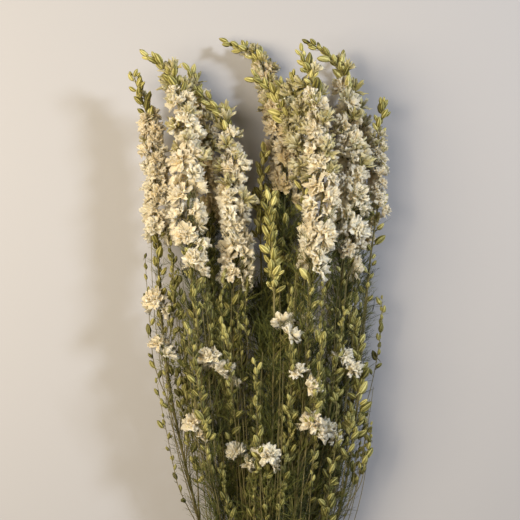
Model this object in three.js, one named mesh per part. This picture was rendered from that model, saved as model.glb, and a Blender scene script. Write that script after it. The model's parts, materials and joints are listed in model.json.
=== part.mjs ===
// A bunch of dried white delphinium, lying on a table and held by a rubber band.
// Millimetres, +Z up. The stems run along +Y from their cut ends to their tips.
// Thirteen flowering stems fan out from the band in three layers. Each stem is a slender
// tapered rod, and what grows round it is a separate body with a bore that clears the stem:
// a tuft of threadlike leaves, a sleeve of crowded double florets, and a cap of closed buds
// on the tip. Side shoots spring from the stems below the flower heads.
// The origin is on the table, under the middle of the bunch's bounding box.

import * as THREE from 'three';

// Overall sizes
const TAIL_LENGTH = 80; // cut ends to the band
const TAIL_UNEVEN = 7; // how far the cut ends stand out of line
const RISE = 350; // band to the level where the flower heads begin
const SPREAD = 1; // width of the fan, as a factor on the positions across

// Stems
const STEM_FOOT_RADIUS = 1.6;
const STEM_TIP_RADIUS = 0.7;
const STEM_SIDES = 6;
const STEM_STEP = 44; // ring spacing on the bare lower stem

// Flower heads. The heads lie on the table and on each other, so the heights of the layers
// follow from the reach of a full head.
const HEAD_REACH = 16; // from the stem's axis to the florets' outermost petals
const LOW_AXIS = 0.95 * HEAD_REACH; // height of the lowest stems' axes under the heads
const LAYER_STEP = 1.375 * HEAD_REACH; // height from one layer of stems to the next

// What grows on them
const BORE_GAP = 0.35; // clearance between a stem and what surrounds it
const END_GAP = 0.4; // clearance between two bodies that follow each other on a stem
const WHORL_STEP = 13; // distance from one whorl of florets to the next
const BUD_STEP = 9; // distance from one whorl of buds to the next
const FLORET_SIDES = 8;
const BUD_SIDES = 6;
const LEAF_SIDES = 6;
const LEAF_STEP = 40; // ring spacing in a tuft of leaves
const WAIST_SHARE = 0.62; // radius between two whorls, as a share of a whorl's
const END_SHARE = 0.6; // radius at the ends of a sleeve, as a share of its middle
const TIP_SHARE = 0.5; // radius at the tip of the buds, as a share of their foot
const BUD_RADIUS = 5.5;
const LEAF_RADIUS = 5.5;

// Side shoots
const SHOOT_RADIUS = 0.8;
const SHOOT_BUD_RADIUS = 4.5;
const SHOOT_BARE_STEP = 22;

// Rubber band round the stems
const NECK_GAP = 0.5; // clearance between neighbouring stems inside the band
const BAND_THICKNESS = 1.4;
const BAND_WIDTH = 9;
const BAND_GAP = 0.35;
const BAND_CORNER_STEPS = 5;
const TAIL_SPLAY = 1.6; // how far the cut ends spread, against their places in the band

// Neck packing: rows of four, five and four stems, like a hexagon
const NECK_PITCH = 2 * STEM_FOOT_RADIUS + NECK_GAP;
const NECK_ROW_RISE = NECK_PITCH * Math.sin(Math.PI / 3);
const NECK_HALF_HEIGHT = NECK_ROW_RISE + STEM_FOOT_RADIUS;
const NECK_AXIS = NECK_HALF_HEIGHT + BAND_GAP + BAND_THICKNESS;

// Flowering stems, from left to right as they lie. `head` gives points [across, along] of
// the stem's upper part, along being measured from the level where the heads begin.
// `level` is the layer it lies in, `neck` its place [across, row] in the band in pitches.
// `buds` and `bloom` are lengths of stem under buds and under florets, from the tip down,
// and `fullness` is their reach as a share of a full head's. `leaves` is the stretch
// [from, to] above the band.
const STALKS = [
  { head: [[-95, 28], [-98, 100], [-103, 180], [-112, 212], [-119, 231]], level: 1.1,
    neck: [-2, 0], buds: 42, bloom: 107, fullness: 0.69, leaves: [150, 300] },
  { head: [[-63, 28], [-68, 90], [-71, 181], [-77, 217], [-91, 238], [-105, 246]], level: 2.3,
    neck: [-1.5, 1], buds: 48, bloom: 140, fullness: 1, leaves: [105, 200] },
  { head: [[-50, 28], [-52, 109], [-55, 165], [-60, 208], [-69, 237]], level: 0,
    neck: [-1.5, -1], buds: 28, bloom: 108, fullness: 0.93, leaves: [150, 320] },
  { head: [[-29, 20], [-26, 82], [-29, 127], [-32, 172], [-38, 195], [-60, 216]], level: 1.6,
    neck: [-1, 0], buds: 54, bloom: 134, fullness: 0.93, leaves: [120, 230] },
  { head: [[-3, 30], [-4, 90], [-3, 130], [-1, 163]], level: 0.7,
    neck: [0, 0], buds: 86, bloom: 0, fullness: 0, leaves: [190, 330] },
  { head: [[17, 60], [18, 118], [16, 163], [9, 208], [-8, 253], [-32, 264]], level: 0,
    neck: [-0.5, -1], buds: 42, bloom: 128, fullness: 0.87, leaves: [170, 330] },
  { head: [[8, 20], [7, 60], [5, 95], [4, 122]], level: 2.9,
    neck: [-0.5, 1], buds: 92, bloom: 0, fullness: 0, leaves: [95, 165] },
  { head: [[36, 64], [36, 105], [31, 150], [22, 186], [7, 214], [-8, 228]], level: 1.9,
    neck: [0.5, 1], buds: 54, bloom: 52, fullness: 0.56, leaves: [100, 190] },
  { head: [[40, 40], [46, 90], [51, 132], [46, 190], [40, 226], [32, 246]], level: 3,
    neck: [1.5, 1], buds: 40, bloom: 156, fullness: 1, leaves: [115, 220] },
  { head: [[69, 50], [77, 95], [78, 145], [75, 190], [69, 235], [42, 259]], level: 1.7,
    neck: [1, 0], buds: 58, bloom: 156, fullness: 1, leaves: [130, 250] },
  { head: [[80, 70], [87, 110], [91, 145], [87, 185], [77, 226], [71, 247]], level: 0,
    neck: [0.5, -1], buds: 50, bloom: 118, fullness: 0.93, leaves: [160, 330] },
  { head: [[95, 60], [102, 110], [104, 150], [103, 175], [108, 205]], level: 0.9,
    neck: [1.5, -1], buds: 34, bloom: 60, fullness: 0.56, leaves: [180, 340] },
  { head: [[84, -62], [85, -32], [82, -4], [76, 25]], level: 1.2,
    neck: [2, 0], buds: 128, bloom: 0, fullness: 0, leaves: [80, 130] },
];

// Side shoots: the stem each springs from, how far above the band, its tip
// [across, along from the band, up], and the length of its budded end.
const SHOOTS = [
  { stalk: 0, from: 318, tip: [-82, 415, 62], buds: 60 },
  { stalk: 1, from: 212, tip: [-66, 352, 92], buds: 84 },
  { stalk: 3, from: 240, tip: [-34, 352, 76], buds: 74 },
  { stalk: 3, from: 110, tip: [-38, 226, 58], buds: 60 },
  { stalk: 6, from: 176, tip: [-8, 322, 96], buds: 88 },
  { stalk: 7, from: 196, tip: [24, 330, 88], buds: 84 },
  { stalk: 8, from: 226, tip: [50, 344, 96], buds: 70 },
  { stalk: 9, from: 256, tip: [70, 368, 76], buds: 70 },
  { stalk: 12, from: 136, tip: [66, 262, 62], buds: 66 },
];

// How the stems open out between the band and the heads: shares of the way across, along, up
const FAN = [
  { across: 0.3, along: 0.22, up: 0.26 },
  { across: 0.64, along: 0.5, up: 0.58 },
  { across: 0.88, along: 0.76, up: 0.84 },
];

const UP = new THREE.Vector3(0, 0, 1);

// Colours and surfaces
const STEM = { color: '#7b6e4a', roughness: 0.85, metalness: 0 };
const FLORET = { color: '#e2d6b8', roughness: 0.9, metalness: 0 };
const BUD = { color: '#a3a05a', roughness: 0.85, metalness: 0 };
const LEAF = { color: '#5a592c', roughness: 0.9, metalness: 0 };
const BAND = { color: '#c39a5e', roughness: 0.6, metalness: 0 };

// The stem's axis: through its cut end, its place in the band, the fan and the head.
function stalkCurve(stalk) {
  const [column, row] = stalk.neck;
  const [baseAcross, baseAlong] = stalk.head[0];
  const neck = new THREE.Vector3(column * NECK_PITCH, 0, NECK_AXIS + row * NECK_ROW_RISE);
  const cutEnd = -TAIL_LENGTH - TAIL_UNEVEN * Math.sin(7 * column + 3 * row);
  const base = new THREE.Vector3(baseAcross * SPREAD, RISE + baseAlong, headHeight(stalk));
  const fanPoint = ({ across, along, up }) => new THREE.Vector3(
    THREE.MathUtils.lerp(neck.x, base.x, across),
    base.y * along,
    THREE.MathUtils.lerp(neck.z, base.z, up),
  );
  return new THREE.CatmullRomCurve3([
    new THREE.Vector3(neck.x * TAIL_SPLAY, cutEnd, neck.z),
    new THREE.Vector3(neck.x, -BAND_WIDTH, neck.z),
    new THREE.Vector3(neck.x, BAND_WIDTH, neck.z),
    ...FAN.map(fanPoint),
    ...stalk.head.map(([across, along]) => new THREE.Vector3(across * SPREAD, RISE + along, base.z)),
  ]);
}

// The height of a stem's axis under its flower head.
function headHeight(stalk) {
  return LOW_AXIS + stalk.level * LAYER_STEP;
}

// Distances along an axis from one length to another, in equal steps.
function stretch(from, to, step) {
  const count = Math.max(1, Math.round((to - from) / step));
  return Array.from({ length: count + 1 }, (_, i) => THREE.MathUtils.lerp(from, to, i / count));
}

// The length of a curve up to where it first reaches a given distance above the band.
function lengthAtRise(curve, rise) {
  const length = curve.getLength();
  const share = stretch(0, 1, 0.002).find((t) => curve.getPointAt(t).y >= rise);
  return (share ?? 1) * length;
}

// A point on an axis with its two cross directions. Past its end the axis runs straight on.
function frameAt(curve, distance) {
  const length = curve.getLength();
  const share = THREE.MathUtils.clamp(distance / length, 0, 1);
  const tangent = curve.getTangentAt(share);
  const side = new THREE.Vector3().crossVectors(tangent, UP).normalize();
  const lift = new THREE.Vector3().crossVectors(side, tangent);
  const centre = curve.getPointAt(share).addScaledVector(tangent, distance - share * length);
  return { centre, tangent, side, lift };
}

// A lathe profile of [radius, distance along the axis], turned round a bent axis.
function latheAlong(curve, profile, sides) {
  const points = profile.map(([radius, distance]) => new THREE.Vector2(radius, distance));
  const geometry = new THREE.LatheGeometry(points, sides);
  const position = geometry.attributes.position;
  const vertex = new THREE.Vector3();
  for (let i = 0; i < position.count; i++) {
    vertex.fromBufferAttribute(position, i);
    const { centre, side, lift } = frameAt(curve, vertex.y);
    centre.addScaledVector(side, vertex.x).addScaledVector(lift, vertex.z);
    position.setXYZ(i, centre.x, centre.y, centre.z);
  }
  geometry.computeVertexNormals();
  return geometry;
}

function makeMesh(name, geometry, { color, roughness, metalness }) {
  const mesh = new THREE.Mesh(geometry, new THREE.MeshStandardMaterial({ color, roughness, metalness }));
  mesh.name = name;
  return mesh;
}

// A stem with its axis, the limits of what grows on it, and the rings that all of it shares.
function layOut(stalk, index) {
  const curve = stalkCurve(stalk);
  const length = curve.getLength();
  const budsFrom = length - stalk.buds;
  const bloomFrom = budsFrom - stalk.bloom;
  const [leavesFrom, leavesTo] = stalk.leaves.map((rise) => lengthAtRise(curve, rise));
  const [bandFrom, bandTo] = [-BAND_WIDTH, BAND_WIDTH].map((rise) => lengthAtRise(curve, rise));
  const rings = new Set([
    ...stretch(0, bandFrom, STEM_STEP),
    ...stretch(bandTo, leavesFrom, STEM_STEP),
    ...stretch(leavesFrom, leavesTo, LEAF_STEP),
    ...stretch(leavesTo, bloomFrom, STEM_STEP),
    ...stretch(bloomFrom, budsFrom, WHORL_STEP),
    ...stretch(budsFrom, length, BUD_STEP),
  ]);
  const number = String(index + 1).padStart(2, '0');
  return { ...stalk, number, curve, length, budsFrom, bloomFrom, leavesFrom, leavesTo, rings: [...rings] };
}

function stemRadius(stalk, distance) {
  return THREE.MathUtils.lerp(STEM_FOOT_RADIUS, STEM_TIP_RADIUS, distance / stalk.length);
}

// A plain tapered rod, closed at its cut end and at its tip.
function makeStem(stalk) {
  const wall = stalk.rings.map((distance) => [stemRadius(stalk, distance), distance]);
  const profile = [[0, 0], ...wall, [0, stalk.length]];
  return makeMesh(`stem_${stalk.number}`, latheAlong(stalk.curve, profile, STEM_SIDES), STEM);
}

// The wall of a bore round the stem, from its far end back to its near end.
function boreWall(stalk, rings) {
  return rings.map((distance) => [stemRadius(stalk, distance) + BORE_GAP, distance]).reverse();
}

// The rings of a stem between two distances, drawn in a little from both limits.
function ringsBetween(stalk, from, to) {
  const inside = stalk.rings.filter((distance) => distance > from && distance < to);
  return [from + END_GAP / 2, ...inside, to - END_GAP / 2];
}

// A sleeve round the stem that swells at every other ring and narrows towards its ends.
function makeSleeve(name, stalk, [from, to], reach, sides, material) {
  const rings = ringsBetween(stalk, from, to);
  const outside = rings.map((distance, i) => {
    const swell = i % 2 === 1 ? 1 : WAIST_SHARE;
    const middle = Math.sin((Math.PI * (i + 0.5)) / rings.length);
    return [reach * swell * THREE.MathUtils.lerp(END_SHARE, 1, middle), distance];
  });
  const profile = [...outside, ...boreWall(stalk, rings), outside[0]];
  return makeMesh(name, latheAlong(stalk.curve, profile, sides), material);
}

// Crowded double florets round the stem.
function makeFlorets(stalk) {
  const limits = [stalk.bloomFrom, stalk.budsFrom];
  const reach = HEAD_REACH * stalk.fullness;
  return makeSleeve(`florets_${stalk.number}`, stalk, limits, reach, FLORET_SIDES, FLORET);
}

// A tuft of threadlike leaves round the stem.
function makeLeaves(stalk) {
  const limits = [stalk.leavesFrom, stalk.leavesTo];
  return makeSleeve(`leaves_${stalk.number}`, stalk, limits, LEAF_RADIUS, LEAF_SIDES, LEAF);
}

// A cap of closed buds over the stem's tip, whorl by whorl smaller.
function makeBuds(stalk) {
  const rings = ringsBetween(stalk, stalk.budsFrom, stalk.length + END_GAP / 2);
  const outside = rings.map((distance, i) => {
    const swell = i % 2 === 1 ? 1 : WAIST_SHARE;
    return [BUD_RADIUS * swell * THREE.MathUtils.lerp(1, TIP_SHARE, i / rings.length), distance];
  });
  const boreEnd = stalk.length + BORE_GAP;
  const tipWall = STEM_TIP_RADIUS + BORE_GAP;
  const profile = [
    [0, boreEnd],
    [tipWall, boreEnd],
    ...boreWall(stalk, rings.slice(0, -1)),
    ...outside,
    [0, boreEnd + 2 * tipWall],
  ];
  return makeMesh(`buds_${stalk.number}`, latheAlong(stalk.curve, profile, BUD_SIDES), BUD);
}

// A side shoot: a thin bare stalk that starts just clear of its stem and ends in buds.
function makeShoot(shoot, index, stalks) {
  const stalk = stalks[shoot.stalk];
  const [across, along, up] = shoot.tip;
  const tip = new THREE.Vector3(across * SPREAD, along, up);
  const footDistance = lengthAtRise(stalk.curve, shoot.from);
  const foot = frameAt(stalk.curve, footDistance);
  const clear = stemRadius(stalk, footDistance) + BORE_GAP + SHOOT_RADIUS;
  const away = tip.clone().sub(foot.centre).projectOnPlane(foot.tangent).normalize();
  const start = foot.centre.clone().addScaledVector(away, clear);
  const reach = tip.distanceTo(start);
  const curve = new THREE.CatmullRomCurve3([
    start,
    start.clone().addScaledVector(foot.tangent, reach * 0.25).addScaledVector(away, reach * 0.06),
    start.clone().lerp(tip, 0.6).addScaledVector(away, reach * 0.03),
    tip,
  ]);
  const length = curve.getLength();
  const budsFrom = length - shoot.buds;
  const bare = stretch(0, budsFrom, SHOOT_BARE_STEP).map((distance) => [SHOOT_RADIUS, distance]);
  const budRings = stretch(budsFrom, length, BUD_STEP).slice(1, -1);
  const buds = budRings.map((distance, i) => {
    const swell = i % 2 === 0 ? 1 : WAIST_SHARE;
    return [SHOOT_BUD_RADIUS * swell * THREE.MathUtils.lerp(1, TIP_SHARE, i / budRings.length), distance];
  });
  const profile = [[0, 0], ...bare, ...buds, [0, length]];
  const number = String(index + 1).padStart(2, '0');
  return makeMesh(`shoot_${number}`, latheAlong(curve, profile, BUD_SIDES), BUD);
}

// The band's outline: a loop drawn tight round the packed stems at a given distance from
// the outermost stems' axes. Their axes are the corners of a hexagon.
function bandOutline(Kind, distance) {
  const outline = new Kind();
  const corners = [[2, 0], [1.5, 1], [-1.5, 1], [-2, 0], [-1.5, -1], [1.5, -1]];
  const turns = corners.map(([column, row]) => new THREE.Vector2(column * NECK_PITCH, row * NECK_ROW_RISE));
  turns.forEach((corner, i) => {
    const before = turns.at(i - 1);
    const after = turns[(i + 1) % turns.length];
    const start = corner.clone().sub(before).angle() - Math.PI / 2;
    let end = after.clone().sub(corner).angle() - Math.PI / 2;
    if (end < start) {
      end += 2 * Math.PI;
    }
    outline.absarc(corner.x, corner.y, distance, start, end, false);
  });
  outline.closePath();
  return outline;
}

// A flat rubber band round all the stems.
function makeRubberBand() {
  const inner = STEM_FOOT_RADIUS + BAND_GAP;
  const section = bandOutline(THREE.Shape, inner + BAND_THICKNESS);
  section.holes.push(bandOutline(THREE.Path, inner));
  const geometry = new THREE.ExtrudeGeometry(section, {
    depth: BAND_WIDTH,
    bevelEnabled: false,
    curveSegments: BAND_CORNER_STEPS,
  });
  geometry.rotateX(Math.PI / 2);
  geometry.translate(0, BAND_WIDTH / 2, NECK_AXIS);
  return makeMesh('rubber_band', geometry, BAND);
}

const stalks = STALKS.map(layOut);
const bunch = new THREE.Group();
bunch.name = 'bunch';
for (const stalk of stalks) {
  bunch.add(makeStem(stalk), makeLeaves(stalk), makeBuds(stalk));
  if (stalk.bloom > 0) {
    bunch.add(makeFlorets(stalk));
  }
}
SHOOTS.forEach((shoot, i) => bunch.add(makeShoot(shoot, i, stalks)));
bunch.add(makeRubberBand());

// The origin goes on the table, under the middle of the bunch.
const box = new THREE.Box3().setFromObject(bunch, true);
const middle = box.getCenter(new THREE.Vector3());
bunch.position.set(-middle.x, -middle.y, -box.min.z);

const group = new THREE.Group();
group.add(bunch);

export default group;
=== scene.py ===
# A bunch of dried white delphinium lying on a pale table, its stems held by a rubber band.
# The stems, flower heads, bud tips, side shoots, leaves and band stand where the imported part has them.
import json
import math
import random

import bmesh
import bpy
from mathutils import Matrix, Vector, noise

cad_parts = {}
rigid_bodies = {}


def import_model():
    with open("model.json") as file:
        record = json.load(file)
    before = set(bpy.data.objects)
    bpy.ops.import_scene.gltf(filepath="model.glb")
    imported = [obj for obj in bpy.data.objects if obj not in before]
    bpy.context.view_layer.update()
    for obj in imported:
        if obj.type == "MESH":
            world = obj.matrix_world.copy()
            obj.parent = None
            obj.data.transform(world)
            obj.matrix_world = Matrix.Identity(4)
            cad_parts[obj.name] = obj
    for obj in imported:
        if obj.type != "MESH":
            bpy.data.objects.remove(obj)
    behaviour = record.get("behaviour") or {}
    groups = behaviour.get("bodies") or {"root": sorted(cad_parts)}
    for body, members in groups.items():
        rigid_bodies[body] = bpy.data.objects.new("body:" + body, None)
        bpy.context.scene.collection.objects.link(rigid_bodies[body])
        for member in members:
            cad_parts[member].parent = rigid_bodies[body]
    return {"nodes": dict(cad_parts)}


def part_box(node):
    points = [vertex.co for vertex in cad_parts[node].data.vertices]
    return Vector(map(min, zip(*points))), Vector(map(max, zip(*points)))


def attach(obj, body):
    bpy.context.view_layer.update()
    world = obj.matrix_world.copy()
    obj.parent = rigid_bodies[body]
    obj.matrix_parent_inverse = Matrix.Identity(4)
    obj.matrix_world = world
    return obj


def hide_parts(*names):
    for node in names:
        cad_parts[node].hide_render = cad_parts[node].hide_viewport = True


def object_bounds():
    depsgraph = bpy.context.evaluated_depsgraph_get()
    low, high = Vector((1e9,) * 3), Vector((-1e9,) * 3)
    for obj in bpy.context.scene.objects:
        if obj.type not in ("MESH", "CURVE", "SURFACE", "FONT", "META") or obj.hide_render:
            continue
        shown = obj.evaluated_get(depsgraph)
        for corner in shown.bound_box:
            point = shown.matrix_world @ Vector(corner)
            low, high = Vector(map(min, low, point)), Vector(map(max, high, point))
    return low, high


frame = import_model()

# ---------------------------------------------------------------------------------------------
# Table, light and camera.
# The bunch lies on a plain pale table top under three soft lights: a cool one to the right of
# the tips, whose shadows fall to the left and towards the cut ends, a warm one at the left, and
# a weak one overhead. The camera looks straight down.
# ---------------------------------------------------------------------------------------------
cad_low, cad_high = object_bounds()
MM = 0.001
TABLE_SIDE = 9.0
TABLE_DROP = 0.2 * MM
CAMERA_HEIGHT = 1.45
SENSOR_SIDE = 36
VIEW_SIDE = 468 * MM
VIEW_BELOW_TIPS = 202 * MM
MID_HEIGHT = 50 * MM
# name, place and aim from the table below the camera, side of the light, watts, colour
SOFT_LIGHTS = [
    ("cool_light", (1.2, 0.75, 1.2), (0, 0, 0), 0.3, 31.0, (0.82, 0.875, 1.0)),
    ("warm_light", (-0.74, 0.15, 0.85), (-0.14, 0, 0), 0.6, 14.0, (1.0, 0.86, 0.66)),
    ("high_light", (-0.45, 0.1, 1.3), (0, 0, 0), 0.6, 9.0, (1.0, 0.91, 0.80)),
]

scene = bpy.context.scene
scene.view_settings.view_transform = "Standard"

camera_data = bpy.data.cameras.new("camera")
camera_data.sensor_width = SENSOR_SIDE
camera_data.lens = SENSOR_SIDE * (CAMERA_HEIGHT - MID_HEIGHT) / VIEW_SIDE
camera = bpy.data.objects.new("camera", camera_data)
camera.location = ((cad_low.x + cad_high.x) / 2, cad_high.y - VIEW_BELOW_TIPS, CAMERA_HEIGHT)
scene.collection.objects.link(camera)
scene.camera = camera


def new_material(name):
    material = bpy.data.materials.new(name)
    material.use_nodes = True
    tree = material.node_tree
    return material, tree, tree.nodes["Principled BSDF"]


half = TABLE_SIDE / 2
level = cad_low.z - TABLE_DROP
corners = [(-half, -half, level), (half, -half, level), (half, half, level), (-half, half, level)]
table_mesh = bpy.data.meshes.new("table_top")
table_mesh.from_pydata(corners, [], [(0, 1, 2, 3)])
table_top = bpy.data.objects.new("table_top", table_mesh)
scene.collection.objects.link(table_top)
table_paint, _, shader = new_material("pale_table_paint")
shader.inputs["Base Color"].default_value = (0.374, 0.366, 0.360, 1)
shader.inputs["Roughness"].default_value = 0.8
table_mesh.materials.append(table_paint)

heads = Vector((0, cad_high.y - VIEW_BELOW_TIPS, 0))
for name, stand, aim, side, watts, colour in SOFT_LIGHTS:
    lamp = bpy.data.lights.new(name, "AREA")
    lamp.shape = "SQUARE"
    lamp.size = side
    lamp.energy = watts
    lamp.color = colour
    light = bpy.data.objects.new(name, lamp)
    light.location = heads + Vector(stand)
    light.rotation_euler = (Vector(aim) - Vector(stand)).to_track_quat("-Z", "Y").to_euler()
    scene.collection.objects.link(light)
world = bpy.data.worlds.new("room")
world.use_nodes = True
room_light = world.node_tree.nodes["Background"].inputs
room_light["Color"].default_value = (1.0, 0.93, 0.82, 1)
room_light["Strength"].default_value = 0.075
scene.world = world

# ---------------------------------------------------------------------------------------------
# Stems.
# Thirteen thin dry rods from the cut ends to the nodding tips, finely ridged along their
# length and bleached olive brown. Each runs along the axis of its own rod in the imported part.
# ---------------------------------------------------------------------------------------------
STALKS = [f"{i:02d}" for i in range(1, 14)]
ROD_SIDES = 6
MERGE_GAP = 0.001 * MM
POLE_SLACK = 0.12 * MM
CURVE_STEPS = 8
AXIS_STEP = 6 * MM
STEM_RIDGES = 6
STEM_RIDGE_DEPTH = 0.16
PRESS_HEIGHT = 3 * MM
HEADROOM = 5 * MM


def rod_rings(node):
    """The middle and radius of each ring of a closed rod, from its lower end to its tip."""
    net = bmesh.new()
    net.from_mesh(frame["nodes"][node].data)
    bmesh.ops.remove_doubles(net, verts=net.verts, dist=MERGE_GAP)
    poles = []
    for vert in net.verts:
        ends = [edge.other_vert(vert).co for edge in vert.link_edges]
        if len(ends) == ROD_SIDES and (sum(ends, Vector()) / len(ends) - vert.co).length < POLE_SLACK:
            poles.append(vert)
    start = min(poles or net.verts, key=lambda vert: vert.co.y)
    seen, ring, rings = {start}, [start], []
    while ring:
        centre = sum((vert.co for vert in ring), Vector()) / len(ring)
        rings.append((centre, sum((vert.co - centre).length for vert in ring) / len(ring)))
        ring = {edge.other_vert(vert) for vert in ring for edge in vert.link_edges} - seen
        ring = sorted(ring, key=lambda vert: vert.index)
        seen.update(ring)
    net.free()
    return rings


def smooth_axis(rings, step=AXIS_STEP):
    """Evenly spaced points, with a radius each, on a smooth curve through a rod's rings."""
    centres = [centre for centre, _ in rings]
    radii = [radius for _, radius in rings]
    dense = []
    for i in range(len(centres) - 1):
        before, a = centres[max(i - 1, 0)], centres[i]
        b, after = centres[i + 1], centres[min(i + 2, len(centres) - 1)]
        for k in range(CURVE_STEPS):
            t = k / CURVE_STEPS
            point = 0.5 * (2 * a + (b - before) * t + (2 * before - 5 * a + 4 * b - after) * t * t
                           + (3 * a - before - 3 * b + after) * t ** 3)
            dense.append((point, radii[i] + (radii[i + 1] - radii[i]) * t))
    dense.append((centres[-1], radii[-1]))
    return even_points(dense, step)


def even_points(dense, step):
    lengths = [0.0]
    for (a, _), (b, _) in zip(dense, dense[1:]):
        lengths.append(lengths[-1] + (b - a).length)
    count = max(3, round(lengths[-1] / step))
    points, j = [], 0
    for k in range(count + 1):
        want = lengths[-1] * k / count
        while j < len(lengths) - 2 and lengths[j + 1] < want:
            j += 1
        share = (want - lengths[j]) / max(lengths[j + 1] - lengths[j], 1e-9)
        (a, ra), (b, rb) = dense[j], dense[j + 1]
        points.append((a.lerp(b, share), ra + (rb - ra) * share))
    return points


def axis_object(name, axes, closed):
    """Threads of vertices, one for each axis, that the node trees turn into curves."""
    verts, edges, widths = [], [], []
    for axis in axes:
        edges += [(len(verts) + i, len(verts) + i + 1) for i in range(len(axis) - 1)]
        if closed:
            edges.append((len(verts) + len(axis) - 1, len(verts)))
        verts += [point for point, _ in axis]
        widths += [radius for _, radius in axis]
    mesh = bpy.data.meshes.new(name)
    mesh.from_pydata(verts, edges, [])
    mesh.attributes.new("width", "FLOAT", "POINT").data.foreach_set("value", widths)
    made = bpy.data.objects.new(name, mesh)
    scene.collection.objects.link(made)
    return made


def new_tree(name, inputs):
    """An empty node tree that takes geometry and the named inputs, and gives geometry."""
    tree = bpy.data.node_groups.new(name, "GeometryNodeTree")
    tree.interface.new_socket("Geometry", in_out="INPUT", socket_type="NodeSocketGeometry")
    tree.interface.new_socket("Geometry", in_out="OUTPUT", socket_type="NodeSocketGeometry")
    for label, kind, value in inputs:
        socket = tree.interface.new_socket(label, in_out="INPUT", socket_type="NodeSocket" + kind)
        if value is not None:
            socket.default_value = value
    entry = tree.nodes.new("NodeGroupInput")
    leave = tree.nodes.new("NodeGroupOutput")
    return tree, entry.outputs, leave.inputs["Geometry"]


def put(tree, kind, inputs=None, **settings):
    """Adds a node, sets it up, and joins or fills its inputs, named or numbered."""
    made = tree.nodes.new(kind)
    for key, value in settings.items():
        setattr(made, key, value)
    for key, value in (inputs or {}).items():
        if isinstance(value, bpy.types.NodeSocket):
            tree.links.new(value, made.inputs[key])
        else:
            made.inputs[key].default_value = value
    return made


def math_of(tree, operation, a, b=0.0):
    return put(tree, "ShaderNodeMath", {0: a, 1: b}, operation=operation).outputs[0]


def mix_of(tree, share, a, b):
    return put(tree, "ShaderNodeMix", {0: share, 2: a, 3: b}, data_type="FLOAT").outputs[0]


def rod_tree():
    """A ridged rod along each thread, as wide as the thread says."""
    tree, given, result = new_tree("ridged_rod", [
        ("Ridges", "Int", STEM_RIDGES), ("Ridge depth", "Float", STEM_RIDGE_DEPTH),
        ("Bark", "Material", None)])
    curve = put(tree, "GeometryNodeMeshToCurve", {"Mesh": given["Geometry"]})
    width = put(tree, "GeometryNodeInputNamedAttribute", {"Name": "width"}, data_type="FLOAT")
    inner = math_of(tree, "SUBTRACT", 1.0, given["Ridge depth"])
    section = put(tree, "GeometryNodeCurveStar",
                  {"Points": given["Ridges"], "Inner Radius": inner, "Outer Radius": 1.0})
    skin = put(tree, "GeometryNodeCurveToMesh",
               {"Curve": curve.outputs[0], "Profile Curve": section.outputs[0],
                "Scale": width.outputs["Attribute"], "Fill Caps": True})
    smooth = put(tree, "GeometryNodeSetShadeSmooth", {"Geometry": skin.outputs[0], "Shade Smooth": True})
    solid = put(tree, "GeometryNodeRealizeInstances", {"Geometry": smooth.outputs[0]})
    done = put(tree, "GeometryNodeSetMaterial", {"Geometry": solid.outputs[0], "Material": given["Bark"]})
    tree.links.new(done.outputs[0], result)
    return tree


def grow(name, axes, tree, values, closed=False):
    """Runs a node tree on threads laid along the axes, and keeps the result as a plain mesh."""
    source = axis_object(name + "_axis", axes, closed)
    modifier = source.modifiers.new("growth", "NODES")
    modifier.node_group = tree
    for item in tree.interface.items_tree:
        if item.item_type == "SOCKET" and item.in_out == "INPUT" and item.name in values:
            modifier[item.identifier] = values[item.name]
    bpy.context.view_layer.update()
    evaluated = source.evaluated_get(bpy.context.evaluated_depsgraph_get())
    mesh = bpy.data.meshes.new_from_object(evaluated)
    bpy.data.objects.remove(source)
    press_flat(mesh)
    piece = bpy.data.objects.new(name, mesh)
    scene.collection.objects.link(piece)
    return piece


def press_flat(mesh):
    """Petals and leaves that would reach into the table, or stand out at the top, are pressed in."""
    for vert in mesh.vertices:
        height = vert.co.z - cad_low.z
        above = vert.co.z - cad_high.z
        if height < PRESS_HEIGHT:
            vert.co.z = cad_low.z + PRESS_HEIGHT * math.exp(height / PRESS_HEIGHT - 1)
        elif above > 0:
            vert.co.z = cad_high.z + HEADROOM * (1 - math.exp(-above / HEADROOM))


def place(piece, slot, *nodes):
    """The piece belongs to the one rigid body and stands for its nodes; the slot it is given is not used."""
    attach(piece, "root")
    if nodes:
        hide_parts(*nodes)


def mottling():
    """A shader group: dry blotches over the piece, alone and mixed with each stalk's own tone."""
    tree = bpy.data.node_groups.new("dry_mottling", "ShaderNodeTree")
    for label, kind in [("Scale", "Float"), ("Stretch", "Vector"), ("Detail", "Float"),
                        ("Roughness", "Float"), ("Tone share", "Float")]:
        tree.interface.new_socket(label, in_out="INPUT", socket_type="NodeSocket" + kind)
    for label in ("Blotches", "Tone", "Mottle"):
        tree.interface.new_socket(label, in_out="OUTPUT", socket_type="NodeSocketFloat")
    given = put(tree, "NodeGroupInput").outputs
    coords = put(tree, "ShaderNodeTexCoord")
    squeezed = put(tree, "ShaderNodeMapping", {"Vector": coords.outputs["Object"], "Scale": given["Stretch"]})
    cloud = put(tree, "ShaderNodeTexNoise", {"Vector": squeezed.outputs[0], "Scale": given["Scale"],
                                             "Detail": given["Detail"], "Roughness": given["Roughness"]})
    tone = put(tree, "ShaderNodeAttribute", attribute_name="tone")
    blend = mix_of(tree, given["Tone share"], cloud.outputs[0], tone.outputs["Fac"])
    put(tree, "NodeGroupOutput", {"Blotches": cloud.outputs[0], "Tone": tone.outputs["Fac"], "Mottle": blend})
    return tree


dry_mottling = mottling()


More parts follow.
